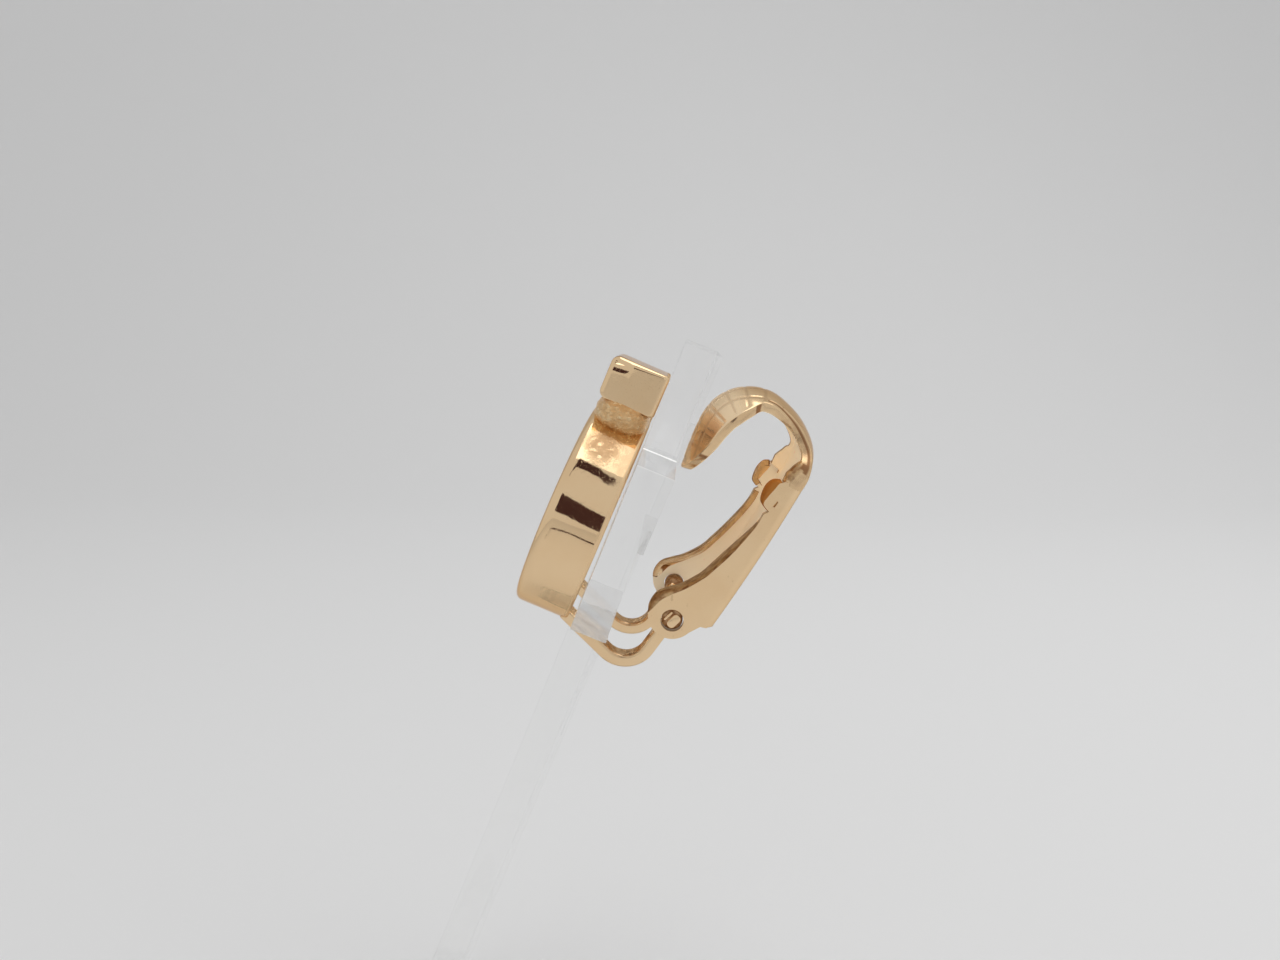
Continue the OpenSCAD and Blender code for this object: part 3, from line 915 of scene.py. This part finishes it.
def ribbon_ring(place, run):
    """One ring round the ribbon: each point x, depth with its cut, painted recess shade, inside painted light
    and squares' strength.
    """
    half, share = half_width(place), ease(0, 1, (place - 5.2) / 3)
    top, low = (
        [a.lerp(b, share) for a, b in zip(*pair)] for pair in zip(folded_section(place), open_section(place))
    )
    # Share of browning on the neck's fold and wall, fading towards the pad
    browning = 0.35 * (1 - share)
    nicked = any(start < place < stop for start, stop in NICKS)
    line_end = 0.95 if SCORED_WIDE[0] < place < SCORED_WIDE[1] else 0.89
    scored = (0.84, line_end) if SCORED[0] < place < SCORED[1] else PAST_EDGE
    # Near the neck's base the wall's lower end and edges are browned: cut-edge colour, and partly painted
    # shade of the notch by the lug.
    rim = ease(1, 0, (place - 2.9) / 0.5) * (place > 0.9)
    # Part of the pad's outer face takes the inside's finish: rougher, and paler and glowing as painted light.
    satin_and_painted_light = 0.35 * ease(0, 1, (place - 9) / 2) * ease(1, 0.3, (place - 12.3) / 1.5)
    ring = []
    for i, p in enumerate(top):
        a = abs(2 * i / COLUMNS - 1)
        # The scored line is sunk a little and darkened with painted shade.
        on_line = scored[0] <= a <= scored[1]
        squares = ease(0, 1, run / 0.5) * ease(0, 1, (half - abs(p.x) - 0.1) / 0.15)
        brown = max(rim * (a > 0.94), browning * (a > 0.75), 1.6 * browning * (a > scored[1]))
        ring.append((p + Vector((0, 0.03 * on_line)), brown, 0.9 * on_line, satin_and_painted_light, squares))
    for end, start, side in ((top[-1], low[-1], 1), (low[0], top[0], -1)):
        bulge = Vector((side * share, 1 - share)) * 0.02
        # Edge faces are browned, with painted shade at the nicks.
        edge = max(rim, 0.15 + browning), 0.9 * (nicked and side > 0), 0.0, 0.0
        ring += [(end.lerp(start, k) + bulge, *edge) for k in (0.12, 0.5, 0.88)]
        # The pad's underside takes the inside's painted light.
        if side > 0:
            ring += [(p, 0.0, 0.0, 1.0, 0.0) for p in reversed(low)]
    return ring


def ribbon_mesh():
    """Neck and pad as one skin, marked for its cut edges, painted recess shade and inside painted light, and
    with the squares' two measures and strength.
    """
    rings, marks = [], []
    line = smooth_line(RIDGE, STEPS)
    run = 0.0
    for row, centre in enumerate(line):
        before, after = line[max(row - 1, 0)], line[min(row + 1, len(line) - 1)]
        way = (after - before).normalized()
        out = Vector((way.y, -way.x))
        place = row / STEPS
        run += (centre - before).length if place > PAD_KNOT else 0.0
        ring = ribbon_ring(place, run)
        rings.append([Vector((p.x, *(centre - out * p.y))) for p, *_ in ring])
        marks += [(cut, recess_shade, inside, p.x, run, squares) for p, cut, recess_shade, inside, squares in ring]
    keys = ("cut", "recess_shade", "inside", "across", "along", "squares")
    return mesh_of("ribbon", *stack(rings), **dict(zip(keys, zip(*marks))))


def pressed_squares():
    """Recipe that presses a grid of lines into the pad and marks them with painted shade."""
    press = Recipe("pad_squares", pitch=PITCH, line=LINE, depth=LINE_DEPTH)
    grid = [
        (press.named(axis) / press.input("pitch") + shift).near_line(press.input("line"))
        for axis, shift in (("along", 0.63), ("across", 0.5))
    ]
    line = grid[0].math("MAXIMUM", *grid) * press.named("squares")
    offset = press.make(
        "ShaderNodeVectorMath", {"operation": "SCALE"},
        {0: press.make("GeometryNodeInputNormal"), "Scale": line * press.input("depth") * -1},
    )
    sockets = {"Geometry": press.input("Geometry"), "Offset": offset}
    shape = press.make("GeometryNodeSetPosition", None, sockets)
    press.close(press.make(
        "GeometryNodeStoreNamedAttribute", {"data_type": "FLOAT", "domain": "POINT"},
        {"Geometry": shape, "Name": "recess_shade", "Value": press.named("recess_shade") + line * 0.3},
    ))
    return press


def make_ribbon():
    ribbon = pressed_squares().run(outward(ribbon_mesh()), STAMPED)
    add_piece("clip_pad", ribbon, EARRING, "clip", STAMPED, crease=50)


make_channel()
make_ribbon()


# Display

# The plate's thickness and front face n, its two sides x and the tab's end, and their heights
PLATE_T, PLATE_N = 2.4, -5.0
PLATE_LEFT, PLATE_X, TAB_X = -13.5, -3.5, 5.0
PLATE_TOP, TAB_TOP, TAB_LOW = 13.9, 7.6, -1.98
# Height of the slot's floor above the table, and the plate's low end that stands on it
SLOT_FLOOR = 0.9
PLATE_LOW = (SLOT_FLOOR - HINGE.z + (PLATE_N + PLATE_T) * math.sin(LEAN)) / math.cos(LEAN)
# Thickness of the tab, height and depth of the step on its back, and how much thicker its low end is
TAB_T, STEP_U, STEP_D, FLARE = 2.05, 3.3, 0.35, 0.13
# Radius of the curve between tab and plate, and height of the tab's grey rim
NOOK_R, RIM = 3.4, 1.28
# Width, length, thickness and corner radius of the foot
FOOT_W, FOOT_L, FOOT_T, FOOT_ROUND = 24, 36, 4, 3
# Play round the plate in its slot, and the rounding of the sheet's and the foot's edges
PLAY, SHEET_EDGE, FOOT_EDGE = 0.1, 0.1, 0.25


def sheet_marked(mesh):
    """Marks the sheet's sawn edges, the tab's grey rim, the bevels and nook start that get a painted
    highlight, and the faint far parts.
    """
    marks = {"sawn": [], "rim": [], "faint": [], "painted_glint": []}
    for face in mesh.polygons:
        x, n, u = face.center
        sawn, at_end = abs(face.normal.y) < 0.5, x > TAB_X - 0.1
        nook_start = TAB_TOP < u < TAB_TOP + 0.1 and -0.6 < x < 0
        marks["sawn"].append(sawn)
        marks["rim"].append(sawn and face.normal.x > 0.9 and at_end and u > TAB_TOP - RIM)
        marks["faint"].append(u > TAB_TOP + 0.5 or x < PLATE_X - 0.1)
        marks["painted_glint"].append(at_end and 0.2 < face.normal.z < 0.95 or nook_start)
    for key, numbers in marks.items():
        set_marks(mesh, key, numbers, "FACE")
    return mesh


def make_sheet():
    """The plate with its tab, which is thinner than the plate from a step on its back."""
    nook = [Vector((PLATE_X + NOOK_R, TAB_TOP + NOOK_R)) - unit(90 - a) * NOOK_R for a in range(0, 91, 6)]
    outline = (
        (PLATE_LEFT, PLATE_LOW), (PLATE_X, PLATE_LOW), (PLATE_X, TAB_LOW), (TAB_X, TAB_LOW),
        (TAB_X, TAB_TOP), *nook, (PLATE_X, PLATE_TOP), (PLATE_LEFT, PLATE_TOP),
    )
    sheet = stack([[Vector((x, n, u)) for x, u in outline] for n in (PLATE_N, PLATE_N + PLATE_T)])
    back, low, high = PLATE_N + TAB_T, TAB_LOW - 2, TAB_TOP + 2
    behind = (back + FLARE, low), (back - STEP_D, STEP_U), (back, STEP_U), (back, high), (0, high), (0, low)
    thinned = stack([[Vector((x, n, u)) for n, u in behind] for x in (PLATE_X, TAB_X + 2)])
    sheet = sheet_marked(carved(sheet, [thinned], SHEET_EDGE))
    sheet = add_piece("display_sheet", sheet, EARRING, "stand", ACRYLIC)
    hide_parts("display_plate")


def make_foot():
    """The foot, in the scene's axes and millimetres, with a slot for the plate."""
    corners = rounded(FOOT_W, FOOT_L, FOOT_ROUND, steps=10)
    foot = stack([[Vector((p.x, p.y, z)) for p in corners] for z in (0, FOOT_T)])
    to_table = Matrix.Scale(1 / MM, 4) @ EARRING
    x0, x1, n0, n1 = PLATE_LEFT - PLAY, PLATE_X + PLAY, PLATE_N - PLAY, PLATE_N + PLATE_T + PLAY
    section = (x0, n0), (x1, n0), (x1, n1), (x0, n1)
    slot = stack([[to_table @ Vector((x, n, u)) for x, n in section] for u in (PLATE_LOW - PLAY, 0)])
    foot = carved(foot, [slot], FOOT_EDGE, segments=3)
    foot = add_piece("display_base", foot, Matrix.Scale(MM, 4), "stand", ACRYLIC)
    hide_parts("display_foot")


make_sheet()
make_foot()


# Surroundings

# Where the photograph was taken from, its pitch down and its turn in degrees, and its lens
CAMERA_AT, PITCH_DOWN, TURN = (44.7, -5.4, 15.3), 11.45, 3.43
SENSOR, LENS = 36, 22.5
# Light of the room and colours of the surroundings
ROOM_LIGHT, PALE_FLOOR, DARK_CARD = (0.65, 0.65, 0.65), (0.8, 0.8, 0.8), (0.075, 0.036, 0.038)
SHADED_LIGHT = (0.55, 0.53, 0.51)
# Floor: its front and back edge, half width and height at the back, and the radius of its sweep
FLOOR_FRONT, FLOOR_BACK, FLOOR_SIDE, FLOOR_HIGH, SWEEP = 900, -420, 800, 700, 220
# Gap that keeps the floor clear of the foot, in the scene's unit
UNDER_FOOT = 2e-5
# Height and strength of the light cards, and the softbox's ends x and n
CARDS_U, SOFT_GLOW, SHEEN_GLOW, OVERHEAD = 300, 1.7, 2.0, (-180, 160, -170, 170)
# Ends x and n of the sheen's three parts, and the shade at both ends n of each
SHEEN_X, SHEEN_N, SHEEN_SHADES = (-125, 160), ((-110, -14), (-14, 0), (0, 75)), ((0, 0), (0, 1), (1, 1))
# Outlines of the dark cards that the gold mirrors: n, u beside it at an x, and x, n above it at a u
LENS_X, HIGH_U, LINE_X, LINE_HALF = 105, 110, 85, 1.3
LENS_CARD = (-20, 46), (-15, 46), (-6.4, 34.4), (-2, 34), (-2, 4.5), (-6.5, 4.9), (-13.7, 8.7), (-20, 9)
HIGH_CARD = (
    (77, -17.5), (60, -15.3), (57, -13), (61, -8.6), (71, -5), (78, -4), (100, -5.5), (86, -8.7),
    (82.6, -11.6), (84, -14.9), (94, -17.4), (104, -21), (128, -34), (118, -35), (92, -21.5),
)
LINE_CARD = (-16, -40), (-14, -31.2), (-12.8, -18.8), (-10, -14.6), (-6.6, -15.9), (-3, -16)


def stage_card(name, corners, finish, rays=("glossy",)):
    """Flat card of the surroundings, given by its corners in the earring's axes, that only some rays see."""
    card = placed(name, mesh_of(name, corners, [tuple(range(len(corners)))]))
    card.data.transform(EARRING)
    card.data.materials.append(finish)
    for ray in ("camera", "diffuse", "glossy", "transmission", "shadow"):
        setattr(card, "visible_" + ray, ray in rays)
    return card


def make_floor():
    """Pale floor that sweeps up behind the earring with no edge in sight."""
    curve = [math.radians(90 * i / 16) for i in range(17)]
    sweep = [(FLOOR_BACK + SWEEP - SWEEP * math.sin(a), SWEEP - SWEEP * math.cos(a)) for a in curve]
    profile = [(FLOOR_FRONT, 0), *sweep, (FLOOR_BACK, FLOOR_HIGH)]
    points = [(x * MM, y * MM, z * MM - UNDER_FOOT) for x, z in profile for y in (-FLOOR_SIDE, FLOOR_SIDE)]
    faces = [(2 * i, 2 * i + 1, 2 * i + 3, 2 * i + 2) for i in range(len(profile) - 1)]
    mesh = mesh_of("floor", points, faces)
    mesh.shade_smooth()
    mesh.materials.append(stage_finish("pale_floor", PALE_FLOOR))
    placed("floor", mesh)


def make_room():
    world = bpy.data.worlds.new("studio")
    world.use_nodes = True
    world.node_tree.nodes["Background"].inputs["Color"].default_value = (*ROOM_LIGHT, 1)
    bpy.context.scene.world = world


def make_light_cards():
    """A softbox overhead, and the graded sheen that only the gold mirrors."""
    soft = stage_finish("softbox", BLACK, SOFT_GLOW)
    graded = stage_finish("graded_softbox", BLACK, SHEEN_GLOW, SHADED_LIGHT)

    def corners(x0, x1, n0, n1):
        return [(x1, n0, CARDS_U), (x0, n0, CARDS_U), (x0, n1, CARDS_U), (x1, n1, CARDS_U)]

    stage_card("overhead", corners(*OVERHEAD), soft, ("diffuse", "transmission"))
    for part, ends, (front, back) in zip(("front", "middle", "back"), SHEEN_N, SHEEN_SHADES):
        card = stage_card("sheen_" + part, corners(*SHEEN_X, *ends), graded)
        set_marks(card.data, "shade", [front, front, back, back])


def make_dark_cards():
    """What the gold mirrors of the camera and the room."""
    dark = stage_finish("dark_card", DARK_CARD)
    line = [(n, u + LINE_HALF) for n, u in LINE_CARD] + [(n, u - LINE_HALF) for n, u in reversed(LINE_CARD)]
    stage_card("card_lens", [(LENS_X, n, u) for n, u in LENS_CARD], dark)
    stage_card("card_high", [(x, n, HIGH_U) for x, n in HIGH_CARD], dark)
    stage_card("card_line", [(LINE_X, n, u) for n, u in line], dark)


def make_camera():
    data = bpy.data.cameras.new("camera")
    data.sensor_width, data.lens = SENSOR, LENS
    data.clip_start, data.clip_end = 0.001, 10
    camera = placed("camera", data)
    camera.location = EARRING @ Vector(CAMERA_AT)
    pitch, turn = math.radians(PITCH_DOWN), math.radians(TURN)
    ahead = Vector((-math.cos(pitch) * math.cos(turn), -math.cos(pitch) * math.sin(turn), -math.sin(pitch)))
    camera.rotation_mode = "QUATERNION"
    camera.rotation_quaternion = ahead.to_track_quat("-Z", "Y")
    bpy.context.scene.camera = camera
    bpy.context.scene.view_settings.view_transform = "Standard"


make_floor()
make_room()
make_light_cards()
make_dark_cards()
make_camera()
